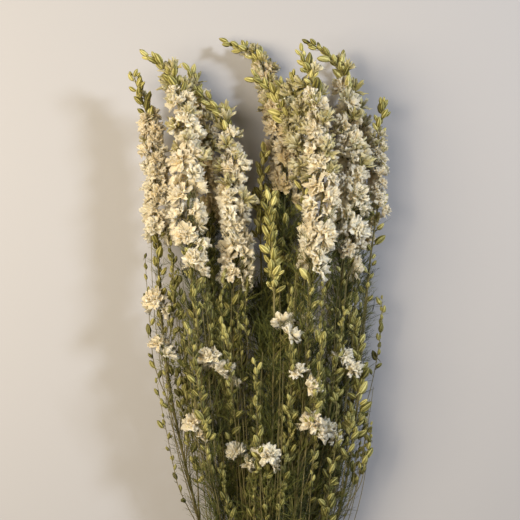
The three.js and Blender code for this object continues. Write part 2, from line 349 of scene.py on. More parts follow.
def finish(tree, shader, colour, roughness, height, strength, depth):
    """Gives a material its colour, its roughness and its bumps."""
    bump = put(tree, "ShaderNodeBump", {"Height": height, "Strength": strength, "Distance": depth})
    tree.links.new(colour, shader.inputs["Base Color"])
    tree.links.new(bump.outputs[0], shader.inputs["Normal"])
    shader.inputs["Roughness"].default_value = roughness


def dry_plant_colour(name, ramp, scale, stretch, tone_share):
    """A material whose colour wanders between a few dry tones, over the piece and from stalk to stalk."""
    material, tree, shader = new_material(name)
    mottle = put(tree, "ShaderNodeGroup", {"Scale": scale, "Stretch": stretch, "Detail": 5.0,
                                           "Roughness": 0.6, "Tone share": tone_share},
                 node_tree=dry_mottling)
    colours = put(tree, "ShaderNodeValToRGB", {"Fac": mottle.outputs["Mottle"]})
    set_ramp(colours, ramp)
    finish(tree, shader, colours.outputs["Color"], 0.85, mottle.outputs["Blotches"], 0.5, 0.3 * MM)
    return material


def set_ramp(node, stops):
    ramp = node.color_ramp
    while len(ramp.elements) < len(stops):
        ramp.elements.new(0.5)
    for element, (position, colour) in zip(ramp.elements, stops):
        element.position = position
        element.color = (*colour, 1)


stem_bark = dry_plant_colour("dry_stem_bark", [
    (0.25, (0.06, 0.047, 0.012)), (0.45, (0.12, 0.099, 0.029)), (0.6, (0.19, 0.16, 0.057)),
    (0.8, (0.29, 0.25, 0.105))], 900, (1, 0.06, 1), 0.0)
axes = {}
stem_tree = rod_tree()
for number in STALKS:
    axes[number] = smooth_axis(rod_rings(f"stem_{number}"))
    stem = grow(f"dry_stem_{number}", [axes[number]], stem_tree, {"Bark": stem_bark})
    place(stem, "stem", f"stem_{number}")


# ---------------------------------------------------------------------------------------------
# Flower heads.
# Double florets crowd round the upper stems, each on its own short stalk, with half-open ones
# above them. Their papery petals have dried crumpled: wide ones bent back round the outside, and
# shorter, narrower ones bunched up in the middle.
# ---------------------------------------------------------------------------------------------
GOLDEN_TURN = math.radians(137.5)
MANY_KINDS = 99
# the seed and openness of each kind of floret, and of each that is half open
FLORET_KINDS = [(100 + i, 0.75 + 0.05 * i) for i in range(8)]
HALF_OPEN_KINDS = [(120 + i, 0.8 + 0.15 * i) for i in range(4)]
FLORET_SPACING = 6.0 * MM
FLORET_STALK = 7.5 * MM
PETAL_COLUMNS = 4
PETAL_ROWS = 3
PETAL_OUTLINE = (0.2, 0.74, 1.0, 0.86)
PETAL_THICKNESS = 0.22 * MM
# least and most pleats across a petal, and how deep its pleats, creases and wrinkles are
PETAL_PLEATS = (1.9, 2.9)
PLEAT_DEPTH = 1.3 * MM
CREASE_DEPTH = 3.2 * MM
WRINKLE_DEPTH = 0.5 * MM
# a petal is shorter at its sides, ragged at its end, and cupped along and across
SIDES_SHORTER = 0.2
RAGGEDNESS = 0.1
CUP_ALONG = 0.4
CUP_ACROSS = 0.15
# how far a petal strays from its whorl: its opening in degrees, its spin and its roll in radians
PETAL_TILT = 18
PETAL_SPIN = 0.3
PETAL_ROLL = 0.5
# number of petals, length, width, and how far they open from the floret's own axis, in degrees
PETAL_WHORLS = [
    (10, 12.8 * MM, 7.2 * MM, 96),
    (10, 12.0 * MM, 6.2 * MM, 66),
    (8, 10.5 * MM, 5.0 * MM, 34),
]
HALF_OPEN_WHORLS = [
    (7, 13.0 * MM, 3.4 * MM, 42),
    (6, 12.0 * MM, 3.0 * MM, 20),
]
# the heads that lie lowest, under the others, take darker tan petals as painted shade, and one head never
# opened further than half
LOW_HEADS = ("03", "06", "11")
HALF_OPEN_HEADS = ("08",)
# heads whose florets are larger, or stand closer together, than the head's thickness would give
USUAL_REACH = 16.0 * MM
FULLER_HEADS = {"01": 1.2}
CLOSER_FLORETS = {"01": 0.8, "04": 0.85}
# how many half-open florets each head has, and how far they stand below and above its upper end
HALF_OPEN_COUNT = 12
HALF_OPEN_COUNTS = {"01": 4, "06": 20, "08": 20}
HALF_OPEN_BELOW = 0.45
HALF_OPEN_ABOVE = 0.14


class Shape:
    """Vertices, faces and a map of them, gathered before they become a mesh."""

    def __init__(self):
        self.verts, self.faces, self.uvs, self.stalk = [], [], [], []

    def add(self, verts, faces, uvs, stalk=False):
        base = len(self.verts)
        self.verts += verts
        self.faces += [tuple(base + i for i in face) for face in faces]
        self.uvs += [[uvs[i] for i in face] for face in faces]
        self.stalk += [stalk] * len(faces)

    def as_object(self, name, collection):
        mesh = bpy.data.meshes.new(name)
        mesh.from_pydata(self.verts, [], self.faces)
        layer = mesh.uv_layers.new(name="UVMap")
        layer.data.foreach_set("uv", [x for face in self.uvs for uv in face for x in uv])
        mesh.attributes.new("stalk", "BOOLEAN", "FACE").data.foreach_set("value", self.stalk)
        net = bmesh.new()
        net.from_mesh(mesh)
        bmesh.ops.recalc_face_normals(net, faces=net.faces)
        for face in net.faces:
            face.smooth = True
        net.to_mesh(mesh)
        net.free()
        made = bpy.data.objects.new(name, mesh)
        collection.objects.link(made)
        return made


def tube(points, radii, sides=4):
    """A closed tube along points, with a radius at each and flat ends."""
    verts, uvs, faces = [], [], []
    for i, (point, radius) in enumerate(zip(points, radii)):
        ahead = points[min(i + 1, len(points) - 1)] - points[max(i - 1, 0)]
        turn = ahead.to_track_quat("Z", "X")
        for k in range(sides):
            angle = 2 * math.pi * k / sides
            verts.append(point + turn @ Vector((math.cos(angle) * radius, math.sin(angle) * radius, 0)))
            uvs.append((k / sides, i / (len(points) - 1)))
    for i in range(len(points) - 1):
        for k in range(sides):
            a, b = i * sides + k, i * sides + (k + 1) % sides
            faces.append((a, b, b + sides, a + sides))
    faces.append(tuple(reversed(range(sides))))
    faces.append(tuple(range(len(verts) - sides, len(verts))))
    return verts, faces, uvs


def petal(length, width, seed, rng, cup, ruffle):
    """One crumpled petal: a thin closed sheet that runs along +Y from its base and faces +Z."""
    top, uvs = [], []
    pleats = rng.uniform(*PETAL_PLEATS)
    phase = rng.uniform(0, 2 * math.pi)
    for row in range(PETAL_ROWS + 1):
        v = row / PETAL_ROWS
        for column in range(PETAL_COLUMNS + 1):
            u = column / PETAL_COLUMNS * 2 - 1
            crimp = math.sin(u * math.pi * pleats + phase + 0.8 * math.sin(3 * v + seed))
            x = u * PETAL_OUTLINE[row] * width / 2 * rng.uniform(0.88, 1.06)
            y = length * v * (1 - SIDES_SHORTER * u * u) + rng.uniform(-RAGGEDNESS, RAGGEDNESS) * length * v
            crease = noise.noise(Vector((u * 1.8 + seed, v * 2.4, seed * 3.1)))
            z = (cup * (v * v * length * CUP_ALONG + u * u * width * CUP_ACROSS)
                 + ruffle * v * (crease * CREASE_DEPTH + crimp * PLEAT_DEPTH
                                 + rng.uniform(-WRINKLE_DEPTH, WRINKLE_DEPTH)))
            top.append(Vector((x, y, z)))
            uvs.append((u * 0.5 + 0.5, v))
    across = PETAL_COLUMNS + 1
    count = len(top)
    bottom = [point - Vector((0, 0, PETAL_THICKNESS)) for point in top]
    faces = []
    for row in range(PETAL_ROWS):
        for column in range(PETAL_COLUMNS):
            a = row * across + column
            faces.append((a, a + 1, a + across + 1, a + across))
            faces.append((count + a, count + a + across, count + a + across + 1, count + a + 1))
    rim = list(range(across)) + [across * row + PETAL_COLUMNS for row in range(1, PETAL_ROWS + 1)]
    rim += list(range(count - 2, count - across - 1, -1))
    rim += [across * row for row in range(PETAL_ROWS - 1, 0, -1)]
    for a, b in zip(rim, rim[1:] + rim[:1]):
        faces.append((a, count + a, count + b, b))
    return top + bottom, faces, uvs + uvs


def floret(seed, openness, whorls):
    """A double floret on its stalk, along +Z from the middle of the stem."""
    rng = random.Random(seed)
    shape = Shape()
    bend = Vector((rng.uniform(-1, 1), rng.uniform(-1, 1), 0)) * 1.2 * MM
    neck = Vector((0, 0, FLORET_STALK))
    shape.add(*tube([Vector((0, 0, 0.4 * MM)), neck * 0.5 + bend, neck, neck + Vector((0, 0, 2.4 * MM))],
                    [0.45 * MM, 0.4 * MM, 0.55 * MM, 1.1 * MM]), stalk=True)
    for number, length, width, opening in whorls:
        first = rng.uniform(0, 2 * math.pi)
        for i in range(number):
            verts, faces, uvs = petal(
                length * rng.uniform(0.8, 1.12), width * rng.uniform(0.75, 1.15), rng.uniform(0, 50), rng,
                cup=rng.uniform(-0.5, 0.9), ruffle=rng.uniform(0.8, 1.3))
            open_angle = math.radians(opening * openness + rng.uniform(-PETAL_TILT, PETAL_TILT))
            spin = first + 2 * math.pi * i / number + rng.uniform(-PETAL_SPIN, PETAL_SPIN)
            turn = (Matrix.Translation(neck + Vector((0, 0, rng.uniform(0.4, 2.2) * MM)))
                    @ Matrix.Rotation(spin, 4, "Z") @ Matrix.Rotation(math.pi / 2 - open_angle, 4, "X")
                    @ Matrix.Rotation(rng.uniform(-PETAL_ROLL, PETAL_ROLL), 4, "Y"))
            shape.add([turn @ vert for vert in verts], faces, uvs)
    return shape


def whorl_tree():
    """Sets one of several kinds at each step along a thread, turning round it as a plant does."""
    tree, given, result = new_tree("set_round_a_stem", [
        ("Kinds", "Collection", None), ("Count", "Int", 20), ("From", "Float", 0.0), ("To", "Float", 1.0),
        ("Lean at foot", "Float", 1.1), ("Lean at tip", "Float", 0.6), ("Size at foot", "Float", 1.0),
        ("Size at tip", "Float", 0.7), ("Size scatter", "Float", 0.15), ("Lean scatter", "Float", 0.25),
        ("Turn", "Float", GOLDEN_TURN), ("Turn scatter", "Float", 0.5), ("Seed", "Int", 1),
        ("Skin", "Material", None), ("Stalk skin", "Material", None)])
    curve = put(tree, "GeometryNodeMeshToCurve", {"Mesh": given["Geometry"]})
    part = put(tree, "GeometryNodeTrimCurve", {0: curve.outputs[0], 2: given["From"], 3: given["To"]},
               mode="FACTOR")
    along = put(tree, "GeometryNodeSplineParameter")
    kept = put(tree, "GeometryNodeCaptureAttribute", {"Geometry": part.outputs[0]}, domain="POINT")
    kept.capture_items.new("FLOAT", "Factor")
    tree.links.new(along.outputs["Factor"], kept.inputs["Factor"])
    points = put(tree, "GeometryNodeCurveToPoints",
                 {"Curve": kept.outputs["Geometry"], "Count": given["Count"]}, mode="COUNT")
    share = kept.outputs["Factor"]

    def scatter(low, high, seed_step):
        seed = math_of(tree, "ADD", given["Seed"], float(seed_step))
        return put(tree, "FunctionNodeRandomValue", {2: low, 3: high, 8: seed}, data_type="FLOAT").outputs[1]

    def scattered(seed_step, amount):
        return math_of(tree, "MULTIPLY", scatter(-1.0, 1.0, seed_step), amount)

    index = put(tree, "GeometryNodeInputIndex").outputs[0]
    frame_turn = put(tree, "FunctionNodeAxesToRotation",
                     {0: points.outputs["Tangent"], 1: points.outputs["Normal"]},
                     primary_axis="Z", secondary_axis="X")
    around = math_of(tree, "MULTIPLY", index, given["Turn"])
    around = math_of(tree, "ADD", around, scattered(11, given["Turn scatter"]))
    lean = mix_of(tree, share, given["Lean at foot"], given["Lean at tip"])
    lean = math_of(tree, "ADD", lean, scattered(23, given["Lean scatter"]))
    size = mix_of(tree, share, given["Size at foot"], given["Size at tip"])
    size = math_of(tree, "MULTIPLY", size, math_of(tree, "ADD", 1.0, scattered(37, given["Size scatter"])))

    def turned(rotation, axis, angle):
        step = put(tree, "FunctionNodeAxisAngleToRotation", {"Axis": axis, "Angle": angle})
        return put(tree, "FunctionNodeRotateRotation", {0: rotation, 1: step.outputs[0]},
                   rotation_space="LOCAL").outputs[0]

    facing = turned(frame_turn.outputs[0], (0, 0, 1), around)
    facing = turned(facing, (0, 1, 0), lean)
    facing = turned(facing, (0, 0, 1), scatter(0.0, 2 * math.pi, 41))
    kinds = put(tree, "GeometryNodeCollectionInfo",
                {"Collection": given["Kinds"], "Separate Children": True, "Reset Children": True})
    pick = put(tree, "FunctionNodeRandomValue", {4: 0, 5: MANY_KINDS, 8: given["Seed"]},
               data_type="INT").outputs[2]
    grown = put(tree, "GeometryNodeInstanceOnPoints",
                {"Points": points.outputs["Points"], "Instance": kinds.outputs[0], "Pick Instance": True,
                 "Instance Index": pick, "Rotation": facing, "Scale": size})
    toned = put(tree, "GeometryNodeStoreNamedAttribute",
                {"Geometry": grown.outputs[0], "Name": "tone", "Value": scatter(0.0, 1.0, 53)},
                data_type="FLOAT", domain="INSTANCE")
    solid = put(tree, "GeometryNodeRealizeInstances", {"Geometry": toned.outputs[0]})
    stalk = put(tree, "GeometryNodeInputNamedAttribute", {"Name": "stalk"}, data_type="BOOLEAN")
    skinned = put(tree, "GeometryNodeSetMaterial", {"Geometry": solid.outputs[0], "Material": given["Skin"]})
    done = put(tree, "GeometryNodeSetMaterial",
               {"Geometry": skinned.outputs[0], "Selection": stalk.outputs["Attribute"],
                "Material": given["Stalk skin"]})
    tree.links.new(done.outputs[0], result)
    return tree


def kinds_of(name, shapes):
    collection = bpy.data.collections.new(name)
    for i, shape in enumerate(shapes):
        shape.as_object(f"{name}_{i}", collection)
    return collection


def join(name, pieces):
    for piece in bpy.context.selected_objects:
        piece.select_set(False)
    for piece in pieces:
        piece.select_set(True)
    bpy.context.view_layer.objects.active = pieces[0]
    bpy.ops.object.join()
    pieces[0].name = name
    pieces[0].select_set(False)
    return pieces[0]


def length_of(axis):
    return sum((b - a).length for (a, _), (b, _) in zip(axis, axis[1:]))


def stretch_beside(axis, node):
    """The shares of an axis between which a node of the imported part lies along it."""
    low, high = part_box(node)
    inside = [i for i, (point, _) in enumerate(axis)
              if all(low[k] - MM <= point[k] <= high[k] + MM for k in range(3))]
    return inside[0] / (len(axis) - 1), inside[-1] / (len(axis) - 1)


def petal_skin(name, base, base_reach, base_share, stops):
    """Papery petals: darker where they start and at their dry edges, with painted shade along their creases,
    cream between.
    """
    material, tree, shader = new_material(name)
    mottle = put(tree, "ShaderNodeGroup", {"Scale": 230.0, "Stretch": (1, 1, 1), "Detail": 5.0,
                                           "Roughness": 0.62, "Tone share": 0.35}, node_tree=dry_mottling)
    colours = put(tree, "ShaderNodeValToRGB", {"Fac": mottle.outputs["Mottle"]})
    set_ramp(colours, stops)
    uv = put(tree, "ShaderNodeUVMap", uv_map="UVMap")
    parts = put(tree, "ShaderNodeSeparateXYZ", {0: uv.outputs[0]})
    foot = put(tree, "ShaderNodeMapRange",
               {"Value": parts.outputs[1], "From Min": 0.0, "From Max": base_reach, "To Min": base_share,
                "To Max": 0.0})
    stretched = put(tree, "ShaderNodeMapping", {"Vector": uv.outputs[0], "Scale": (24.0, 2.5, 1.0)})
    crease_bump_and_shade = put(tree, "ShaderNodeTexNoise", {"Vector": stretched.outputs[0], "Scale": 1.0, "Detail": 3.0})
    # painted shade: the colour darkens along the creases of the noise, where shade falls between crumpled
    # petals
    crease = put(tree, "ShaderNodeMapRange", {"Value": crease_bump_and_shade.outputs[0], "From Min": 0.43, "From Max": 0.33,
                                              "To Min": 0.0, "To Max": 0.4})
    aside = math_of(tree, "ABSOLUTE", math_of(tree, "SUBTRACT", parts.outputs[0], 0.5))
    edge = put(tree, "ShaderNodeMapRange",
               {"Value": aside, "From Min": 0.44, "From Max": 0.5, "To Min": 0.0, "To Max": 0.25})
    dark = math_of(tree, "MAXIMUM", foot.outputs[0], crease.outputs[0])
    dark = math_of(tree, "MAXIMUM", dark, edge.outputs[0])
    mixed = put(tree, "ShaderNodeMix", {0: dark, 6: colours.outputs[0], 7: (*base, 1)}, data_type="RGBA")
    finish(tree, shader, mixed.outputs[2], 0.8, crease_bump_and_shade.outputs[0], 0.7, 0.7 * MM)
    shader.inputs["Subsurface Weight"].default_value = 0.5
    shader.inputs["Subsurface Radius"].default_value = (1.0, 0.8, 0.5)
    shader.inputs["Subsurface Scale"].default_value = 4 * MM
    return material


petal_paper = petal_skin("dry_petal", (0.58, 0.44, 0.20), 0.4, 0.5, [
    (0.22, (0.80, 0.63, 0.35)), (0.36, (0.88, 0.74, 0.44)), (0.5, (0.90, 0.79, 0.50)),
    (0.7, (0.90, 0.82, 0.57))])
# painted shade: darker tan petals for the heads that lie low, under the others
shaded_tan_paper = petal_skin("shaded_tan_petal", (0.34, 0.235, 0.08), 0.5, 0.7, [
    (0.22, (0.53, 0.37, 0.155)), (0.36, (0.68, 0.52, 0.25)), (0.5, (0.79, 0.64, 0.35)),
    (0.7, (0.87, 0.75, 0.47))])
greenish_paper = petal_skin("half_open_petal", (0.22, 0.185, 0.022), 1.25, 0.95, [
    (0.24, (0.50, 0.41, 0.11)), (0.38, (0.66, 0.55, 0.20)), (0.5, (0.81, 0.69, 0.32)),
    (0.7, (0.91, 0.80, 0.45))])
green_stalk = dry_plant_colour("dry_flower_stalk", [
    (0.3, (0.08, 0.078, 0.018)), (0.5, (0.18, 0.165, 0.045)), (0.7, (0.34, 0.31, 0.11))], 500, (1, 1, 1), 0.4)
round_stem = whorl_tree()
florets = kinds_of("floret", [floret(*kind, PETAL_WHORLS) for kind in FLORET_KINDS])
opening = kinds_of("opening", [floret(*kind, HALF_OPEN_WHORLS) for kind in HALF_OPEN_KINDS])


def set_round(name, threads, kinds, count, span, leans, sizes, seed, skin, size_scatter=0.15):
    """Florets, buds or leaves round each thread, over a span given as shares of its length.
    How they lean from it and their sizes go from the first number at the span's foot to the second."""
    return grow(name, threads, round_stem, {
        "Kinds": kinds, "Count": count, "From": span[0], "To": span[1], "Lean at foot": leans[0],
        "Lean at tip": leans[1], "Size at foot": sizes[0], "Size at tip": sizes[1],
        "Size scatter": size_scatter, "Seed": seed, "Skin": skin, "Stalk skin": green_stalk})


for number in STALKS:
    node = f"florets_{number}"
    if node not in frame["nodes"]:
        continue
    axis = axes[number]
    seed = 10 * int(number)
    start, end = stretch_beside(axis, node)
    stretch = end - start
    low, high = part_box(node)
    thickness = (high.z - low.z) / 2 / USUAL_REACH
    size = FULLER_HEADS.get(number, 1.0) * thickness
    spacing = FLORET_SPACING * thickness ** 0.7 * CLOSER_FLORETS.get(number, 1.0)
    kinds, skin = florets, petal_paper
    if number in LOW_HEADS:
        skin = shaded_tan_paper
    if number in HALF_OPEN_HEADS:
        kinds, skin = opening, greenish_paper
    head = set_round("open", [axis], kinds, count=round(stretch * length_of(axis) / spacing),
                     span=(start, end), leans=(1.25, 0.85), sizes=(1.05 * size, 0.8 * size), seed=seed,
                     skin=skin)
    above = set_round("half_open", [axis], opening, count=HALF_OPEN_COUNTS.get(number, HALF_OPEN_COUNT),
                      span=(end - HALF_OPEN_BELOW * stretch, end + HALF_OPEN_ABOVE * stretch),
                      leans=(1.0, 0.6), sizes=(size, 0.9 * size), seed=seed + 1, skin=greenish_paper)
    place(join(f"flower_head_{number}", [head, above]), "floret", node)


# ---------------------------------------------------------------------------------------------
# Budded tips.
# Above its florets each spike carries closed buds, on thin stalks that lean towards the tip.
# A bud is a pointed drop of five folded green sepals; some keep the spur that stands out behind.
# ---------------------------------------------------------------------------------------------
BUD_LENGTH = 10.8 * MM
BUD_RADIUS = 2.9 * MM
BUD_STALK = 3.2 * MM
BUD_SPACING = 4.6 * MM
TIP_CROWDING = 1.6
BUD_FOLDS = 5
FOLD_DEPTH = 0.3
BUD_PROFILE = [(0.0, 0.28), (0.1, 0.68), (0.3, 0.98), (0.55, 1.0), (0.78, 0.72), (0.93, 0.36), (1.0, 0.1)]
BUD_SIZES = (1.0, 0.82, 1.12, 0.7, 0.95)
SPURRED_BUDS = (0, 2)
PAIRED_BUDS = (4,)
# the spur's way, from the foot of the bud, in millimetres
SPUR = [(0.3, 0, 1.5), (2.2, 0, 0.6), (3.4, 0, -2.0), (3.7, 0.3, -5.0)]


def bud_body(length, radius, rng):
    """A closed folded drop along +Z."""
    sides = 2 * BUD_FOLDS
    bend = rng.uniform(-0.12, 0.12) * length
    verts, uvs, faces = [], [], []
    for height, share in BUD_PROFILE:
        for k in range(sides):
            angle = 2 * math.pi * k / sides + 0.5 * height
            reach = radius * share * (1.0 if k % 2 else 1 - FOLD_DEPTH) * rng.uniform(0.94, 1.06)
            verts.append(Vector((math.cos(angle) * reach + bend * height * height, math.sin(angle) * reach,
                                 height * length)))
            uvs.append((k / sides, height))
    for row in range(len(BUD_PROFILE) - 1):
        for k in range(sides):
            a, b = row * sides + k, row * sides + (k + 1) % sides
            faces.append((a, b, b + sides, a + sides))
    faces.append(tuple(reversed(range(sides))))
    faces.append(tuple(range(len(verts) - sides, len(verts))))
    return verts, faces, uvs


def bud(kind):
    """One bud, or a pair, on a thin stalk along +Z with a small leaf where the stalk starts."""
    rng = random.Random(300 + kind)
    shape = Shape()
    size = BUD_SIZES[kind]
    lean = Vector((rng.uniform(-1, 1), rng.uniform(-1, 1), 0)) * 1.5 * MM
    neck = Vector((0, 0, BUD_STALK)) + lean
    shape.add(*tube([Vector((0, 0, 0.3 * MM)), neck * 0.5 - lean * 0.3, neck],
                    [0.34 * MM, 0.26 * MM, 0.4 * MM], 4), stalk=True)
    shape.add(*tube([Vector((0.3, 0, 0.4)) * MM, Vector((1.3, 0, 2.2)) * MM, Vector((1.7, 0.2, 4.6)) * MM],
                    [0.2 * MM, 0.32 * MM, 0.05 * MM], 3), stalk=True)
    verts, faces, uvs = bud_body(BUD_LENGTH * size, BUD_RADIUS * size, rng)
    turn = Matrix.Translation(neck) @ Matrix.Rotation(rng.uniform(-0.3, 0.3), 4, "X")
    shape.add([turn @ vert for vert in verts], faces, uvs)
    if kind in SPURRED_BUDS:
        shape.add(*tube([neck + Vector(point) * MM for point in SPUR],
                        [0.5 * MM, 0.5 * MM, 0.36 * MM, 0.12 * MM], 4))
    if kind in PAIRED_BUDS:
        second = neck * 0.55
        aside = second + Vector((2.6, 0.5, 2.6)) * MM
        shape.add(*tube([second, aside], [0.26 * MM, 0.3 * MM], 3), stalk=True)
        verts, faces, uvs = bud_body(BUD_LENGTH * 0.62, BUD_RADIUS * 0.66, rng)
        turn = Matrix.Translation(aside) @ Matrix.Rotation(0.5, 4, "Y")
        shape.add([turn @ vert for vert in verts], faces, uvs)
    return shape


def folded_skin(name, dark, middle, pale):
    """Sepals: painted shade in the folds and a painted highlight along their ridges, every bud of its own
    tone.
    """
    material, tree, shader = new_material(name)
    mottle = put(tree, "ShaderNodeGroup", {"Scale": 420.0, "Stretch": (1, 1, 1), "Detail": 4.0,
                                           "Roughness": 0.5}, node_tree=dry_mottling)
    uv = put(tree, "ShaderNodeUVMap", uv_map="UVMap")
    parts = put(tree, "ShaderNodeSeparateXYZ", {0: uv.outputs[0]})
    # painted shade and highlight: the colour is darkest in each fold of the bud and palest on each ridge
    painted_fold_light = math_of(tree, "COSINE", math_of(tree, "MULTIPLY", parts.outputs[0], 2 * math.pi * BUD_FOLDS))
    painted_fold_light = put(tree, "ShaderNodeMapRange", {"Value": painted_fold_light, "From Min": 1.0, "From Max": -1.0})
    blend = mix_of(tree, 0.45, painted_fold_light.outputs[0], mottle.outputs["Blotches"])
    blend = mix_of(tree, 0.4, blend, mottle.outputs["Tone"])
    colours = put(tree, "ShaderNodeValToRGB", {"Fac": blend})
    set_ramp(colours, [(0.22, dark), (0.45, middle), (0.72, pale)])
    finish(tree, shader, colours.outputs["Color"], 0.7, mottle.outputs["Blotches"], 0.4, 0.3 * MM)
    return material


bud_skin = folded_skin("dry_bud", (0.052, 0.046, 0.005), (0.22, 0.196, 0.030), (0.60, 0.545, 0.20))
# painted shade: a darker copy of the bud colour for the shoots and twigs that lie low in the bunch
shaded_bud_skin = folded_skin("shaded_bud", (0.034, 0.032, 0.004), (0.128, 0.122, 0.017), (0.41, 0.375, 0.12))
buds = kinds_of("bud", [bud(kind) for kind in range(len(BUD_SIZES))])
for number in STALKS:
    node = f"buds_{number}"
    axis = axes[number]
    start, end = stretch_beside(axis, node)
    count = round((end - start) * length_of(axis) / BUD_SPACING * TIP_CROWDING)
    tip = set_round(f"budded_tip_{number}", [axis], buds, count, span=(start, end), leans=(0.75, 0.45),
                    sizes=(1.15, 0.8), seed=10 * int(number) + 3, skin=bud_skin)
    place(tip, "bud", node)

# ---------------------------------------------------------------------------------------------
# Side shoots.
# Nine thin shoots leave the stems low down and climb beside them, each a bare thread of a stem
# that ends in a loose column of buds.
# ---------------------------------------------------------------------------------------------
SHOOTS = [f"{i:02d}" for i in range(1, 10)]
SHOOT_STEP = 4 * MM
SHOOT_RADIUS = 0.55 * MM
SHOOT_TAPER = 0.4
SHOOT_BARE_SHARE = 0.3
THIN_ROD = {"Ridges": 3, "Bark": stem_bark}

for number in SHOOTS:
    axis = smooth_axis(rod_rings(f"shoot_{number}"), SHOOT_STEP)
    axis = [(point, SHOOT_RADIUS * (1 - SHOOT_TAPER * i / len(axis))) for i, (point, _) in enumerate(axis)]
    rod = grow("rod", [axis], stem_tree, THIN_ROD)
    count = round(length_of(axis) * (1 - SHOOT_BARE_SHARE) / BUD_SPACING)
    column = set_round("column", [axis], buds, count, span=(SHOOT_BARE_SHARE, 1.0), leans=(0.7, 0.3),
                       sizes=(0.95, 0.65), seed=10 * int(number) + 5, skin=shaded_bud_skin)
    place(join(f"side_shoot_{number}", [rod, column]), "bud", f"shoot_{number}")

# ---------------------------------------------------------------------------------------------
# Twigs.
# Every stem also carries weak twigs of its own, pressed against it by the bunch. About half end
# in columns of buds and the others are bare. Two more are small flower spikes, and late flowers
# opened low down. Closed buds also stand on the stem itself, below its flower head.
# ---------------------------------------------------------------------------------------------
TWIGS_PER_STEM = 6
# lengths and reaches are in millimetres, and fans in radians
TWIG_LENGTHS = (90, 170)
TWIG_REACHES = (7, 17)
TWIG_FAN = 0.35
TWIG_RADIUS = 0.5 * MM
TWIG_STEP = 5 * MM
TWIG_WANDER = 2.5 * MM
TWIG_SPREAD_SHARE = 0.45
SIDE_ROOM = 6 * MM
TIP_ROOM = 8 * MM
TWIG_SEED = 41
# stem, how many twigs more, and the side of the stem on which they stand, in radians from +X
MORE_TWIGS = {"01": (9, 0.15), "03": (2, 1.0), "04": (3, 2.9), "05": (5, 2.5), "06": (3, 2.0)}
MORE_REACHES = (9, 21)
# the lowest and highest place where a twig ends, as shares of the stem
TWIG_TOPS = (0.47, 0.81)
OTHER_TWIG_TOPS = {"01": (0.58, 0.80), "04": (0.55, 0.76)}
# the buds of a twig, and the share of its length below them
BUDS_PER_TWIG = 12
TWIG_BARE_SHARE = 0.54
OTHER_BARE_SHARES = {"01": 0.3}
BARE_TWIGS = 7
FEWER_BARE_TWIGS = {"01": 3}
BARE_STARTS = (0.2, 0.4)
BARE_LENGTHS = (210, 300)
BARE_REACHES = (5, 18)
BARE_FAN = 0.6
# stem, how far up it a side spike leaves, its length, how far it stands beside and above the stem,
# in millimetres, and what it carries
SIDE_SPIKES = [
    ("06", 0.80, 90, 10, 12, florets, shaded_tan_paper),
    ("09", 0.82, 110, -14, -10, opening, greenish_paper),
]
SIDE_FLORET_SPACING = 7
# stem, how far up it the flowers stand, how far beside it in millimetres, and how many they are
LATE_FLOWERS = [
    ("01", 0.690, -3, 3), ("01", 0.628, -2, 2), ("02", 0.715, 4, 3), ("02", 0.505, -9, 2),
    ("02", 0.590, 12, 3), ("04", 0.485, 0, 3), ("07", 0.590, -5, 3), ("09", 0.525, 7, 3),
    ("10", 0.500, 0, 3), ("10", 0.590, 8, 3), ("04", 0.598, -6, 2), ("07", 0.800, 9, 2),
    ("09", 0.590, -5, 2), ("08", 0.660, 5, 2),
]
LATE_STALK = 26 * MM
LATE_RISE = 9
# closed buds on the stem, from below the foot of its head to just above it, in shares of the stem
LOW_BUDS = 15
LOW_BUDS_BELOW = 0.13
LOW_BUDS_ABOVE = 0.01


def beside(parent, start, length, away, angle, rng):
    """A thread that leaves a stem and climbs next to it, as (middle, radius) points."""
    thread = []
    wander = Vector((rng.uniform(-1, 1), 0, rng.uniform(-1, 1))) * TWIG_WANDER
    count = max(3, round(length / TWIG_STEP))
    for k in range(count + 1):
        share = k / count
        place_on = min((start + length * share) / AXIS_STEP, len(parent) - 1.001)
        i = int(place_on)
        middle = parent[i][0].lerp(parent[i + 1][0], place_on - i)
        rise = min(1.0, share / TWIG_SPREAD_SHARE)
        apart = away * (rise * rise * (3 - 2 * rise))
        point = middle + Vector((math.cos(angle), 0, math.sin(angle))) * apart \
            + wander * math.sin(share * math.pi * 2.0) * rise
        point.x = max(cad_low.x + SIDE_ROOM, min(cad_high.x - SIDE_ROOM, point.x))
        point.z = max(cad_low.z + SIDE_ROOM, min(cad_high.z - SIDE_ROOM, point.z))
        thread.append((point, TWIG_RADIUS * (1 - 0.5 * share)))
    return thread


